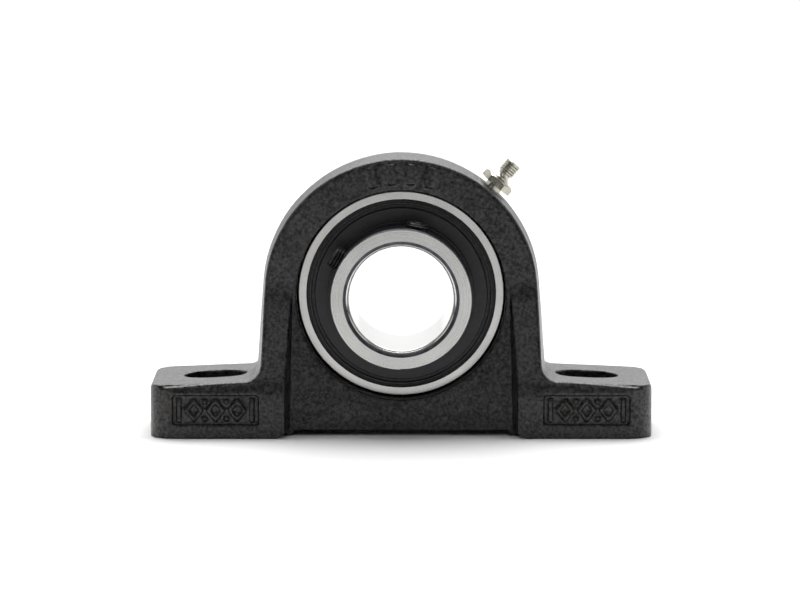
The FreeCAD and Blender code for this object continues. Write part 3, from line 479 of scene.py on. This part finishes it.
VOXEL = 0.38 * MM
SMOOTH_STEPS = 4
FOOT_EDGE_STEPS = 6
FOOT_EDGE_DEPTH = 1.4 * MM
FOOT_EDGE_FROM_X = 50.0 * MM
FOOT_EDGE_FROM_Z = 15.4 * MM
WAVE_HEIGHT = 0.10 * MM
WAVE_SCALE = 70.0
KEEP_FACES = 190000
SEAT_BAND = 1.2 * MM
SEAT_CLEARANCE = 0.10 * MM


def new_object(name, mesh):
    piece = bpy.data.objects.new(name, mesh)
    bpy.context.scene.collection.objects.link(piece)
    return piece


def apply_modifiers(piece):
    """Replaces the piece's mesh with the result of its modifiers."""
    graph = bpy.context.evaluated_depsgraph_get()
    result = bpy.data.meshes.new_from_object(piece.evaluated_get(graph))
    piece.modifiers.clear()
    old = piece.data
    piece.data = result
    bpy.data.meshes.remove(old)


def coordinates(mesh):
    co = np.empty(len(mesh.vertices) * 3)
    mesh.vertices.foreach_get("co", co)
    return co.reshape(-1, 3)


def settle_casting(mesh):
    """Low waves of a sand-cast skin; the turned seat stays true and the box isn't passed."""
    mesh.update()
    co = coordinates(mesh)
    normals = np.empty(len(co) * 3)
    mesh.vertex_normals.foreach_get("vector", normals)
    normals = normals.reshape(-1, 3)
    wave = np.array([noise.noise(Vector(point) * WAVE_SCALE) for point in co])
    moved = co + normals * (wave * WAVE_HEIGHT)[:, None]
    offset = co - np.array(CENTRE)
    reach = np.linalg.norm(offset, axis=1)
    on_seat = np.abs(reach - SEAT_RADIUS) < SEAT_BAND
    on_seat &= np.abs(offset[:, 1]) < RING_HIGH.y
    stretch = (SEAT_RADIUS + SEAT_CLEARANCE) / reach[on_seat]
    moved[on_seat] = np.array(CENTRE) + offset[on_seat] * stretch[:, None]
    low, high = [np.array(corner) for corner in cad_bounds]
    moved = np.clip(moved, low, high)
    mesh.vertices.foreach_set("co", moved.ravel())
    mesh.update()


def round_foot_edges(piece):
    """Rounds the top edges of both feet more than the rest of the casting."""
    co = coordinates(piece.data)
    half_depth = cad_bounds[1][1]
    near_edge = (np.abs(co[:, 1]) > half_depth - FOOT_EDGE_DEPTH)
    near_edge |= (np.abs(co[:, 0]) > HOUSING_HALF_LENGTH - FOOT_EDGE_DEPTH)
    chosen = near_edge & (np.abs(co[:, 0]) > FOOT_EDGE_FROM_X) & (co[:, 2] > FOOT_EDGE_FROM_Z)
    group = piece.vertex_groups.new(name="foot_edges")
    group.add(np.flatnonzero(chosen).tolist(), 1.0, "REPLACE")
    extra = piece.modifiers.new("round_edges", "SMOOTH")
    extra.factor = 0.5
    extra.iterations = FOOT_EDGE_STEPS
    extra.vertex_group = group.name


def make_cast_housing():
    """The housing with the soft edges of a painted casting."""
    source = frame["nodes"]["housing"]
    piece = new_object("cast_housing", source.data.copy())
    piece.data.materials.clear()
    remesh = piece.modifiers.new("skin", "REMESH")
    remesh.mode = "VOXEL"
    remesh.voxel_size = VOXEL
    smooth = piece.modifiers.new("soften", "SMOOTH")
    smooth.factor = 0.5
    smooth.iterations = SMOOTH_STEPS
    apply_modifiers(piece)
    round_foot_edges(piece)
    reduce = piece.modifiers.new("reduce", "DECIMATE")
    reduce.ratio = min(1.0, KEEP_FACES / (2 * len(piece.data.polygons)))
    apply_modifiers(piece)
    settle_casting(piece.data)
    piece.data.polygons.foreach_set("use_smooth", np.ones(len(piece.data.polygons), bool))
    piece.data.materials.append(cast_paint())
    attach(piece, "housing")
    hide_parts("housing")


# ---------------------------------------------------------------- set screws

SCREW_LENGTH = 8.0 * MM
SCREW_RADIUS = 3.95 * MM
THREAD_PITCH = 1.0 * MM
THREAD_DEPTH = 0.55 * MM
THREAD_END_BEVEL = 0.7 * MM
SOCKET_FLATS = 4.0 * MM
SOCKET_DEPTH = 4.0 * MM
SCREW_SEGMENTS = 72
SCREW_ROWS_PER_PITCH = 10
CUP_FLOOR = (0.3 * MM, 0.9 * MM)
CUP_RIM_RADII = (1.9 * MM, 2.5 * MM)
SOCKET_LEAD_IN = 0.25 * MM
SOCKET_TIP_RADIUS = 0.2 * MM
SOCKET_TIP_DEPTH = 0.9 * MM
THREAD_SLOPE = 2.6
THREAD_FLAT = 0.35
SHARP_EDGE_DEG = 35


def thread_radius(height, angle):
    """Radius of a 60-degree thread at a height and angle, with flats on crest and root."""
    phase = (height / THREAD_PITCH - angle / (2 * math.pi)) % 1.0
    depth = min(max(abs(phase - 0.5) * THREAD_SLOPE - THREAD_FLAT, 0.0), 1.0)
    end = min(height, SCREW_LENGTH - height)
    bevel = max(THREAD_END_BEVEL - end, 0.0)
    return min(SCREW_RADIUS - depth * THREAD_DEPTH, SCREW_RADIUS - bevel)


def hexagon_radius(angle, flats):
    """Distance from the middle to a hexagon's side at an angle."""
    turn = (angle + math.pi / 6) % (math.pi / 3) - math.pi / 6
    return flats / 2 / math.cos(turn)


def screw_mesh(name):
    """A socket set screw along +Z from 0 to its length, with a real helical thread."""
    angles = [2 * math.pi * step / SCREW_SEGMENTS for step in range(SCREW_SEGMENTS)]
    rows = int(SCREW_LENGTH / THREAD_PITCH * SCREW_ROWS_PER_PITCH)
    rings = []
    for radius, height in (CUP_FLOOR, (CUP_RIM_RADII[0], 0.0), (CUP_RIM_RADII[1], 0.0)):
        rings.append([(radius, angle, height) for angle in angles])
    for row in range(rows + 1):
        height = SCREW_LENGTH * row / rows
        rings.append([(thread_radius(height, angle), angle, height) for angle in angles])
    socket = [hexagon_radius(angle, SOCKET_FLATS) for angle in angles]
    for grow, height in ((SOCKET_LEAD_IN, SCREW_LENGTH), (0.0, SCREW_LENGTH - SOCKET_LEAD_IN),
                         (0.0, SCREW_LENGTH - SOCKET_DEPTH)):
        rings.append([(radius + grow, angle, height) for radius, angle in zip(socket, angles)])
    tip_height = SCREW_LENGTH - SOCKET_DEPTH - SOCKET_TIP_DEPTH
    rings.append([(SOCKET_TIP_RADIUS, angle, tip_height) for angle in angles])
    shape = bmesh.new()
    loops = [[shape.verts.new((r * math.cos(a), r * math.sin(a), z)) for r, a, z in ring] for ring in rings]
    for lower, upper in zip(loops, loops[1:]):
        for step in range(SCREW_SEGMENTS):
            after = (step + 1) % SCREW_SEGMENTS
            shape.faces.new((lower[step], lower[after], upper[after], upper[step]))
    shape.faces.new(list(reversed(loops[0])))
    shape.faces.new(loops[-1])
    bmesh.ops.recalc_face_normals(shape, faces=shape.faces)
    mesh = bpy.data.meshes.new(name)
    shape.to_mesh(mesh)
    shape.free()
    mesh.polygons.foreach_set("use_smooth", np.ones(len(mesh.polygons), bool))
    mesh.set_sharp_from_angle(angle=math.radians(SHARP_EDGE_DEG))
    return mesh


def make_set_screws():
    material = black_oxide()
    for index in (1, 2):
        node = "set_screw_%d" % index
        axis = Vector(JOINTS[node + "_travel"]["axis"])
        low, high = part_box(node)
        middle = (low + high) / 2
        mesh = screw_mesh("threaded_" + node)
        turn = axis.to_track_quat("Z", "Y").to_matrix().to_4x4()
        mesh.transform(Matrix.Translation(middle - axis * SCREW_LENGTH / 2) @ turn)
        piece = new_object("threaded_" + node, mesh)
        mesh.materials.append(material)
        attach(piece, node)
        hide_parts(node)


# ---------------------------------------------------------------- spring in the grease nipple


def make_nipple_spring():
    """The coil under the check ball, a copy of the CAD spring in pressed steel that rides with the housing."""
    piece = new_object("coil_spring", frame["nodes"]["nipple_spring"].data.copy())
    piece.data.materials.clear()
    piece.data.materials.append(pressed_steel())
    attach(piece, "housing")
    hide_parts("nipple_spring")
    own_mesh(piece)


# ---------------------------------------------------------------- scene

make_camera()
make_lights()
make_floor()
dress_cad_nodes()
make_cast_housing()
make_set_screws()
make_nipple_spring()
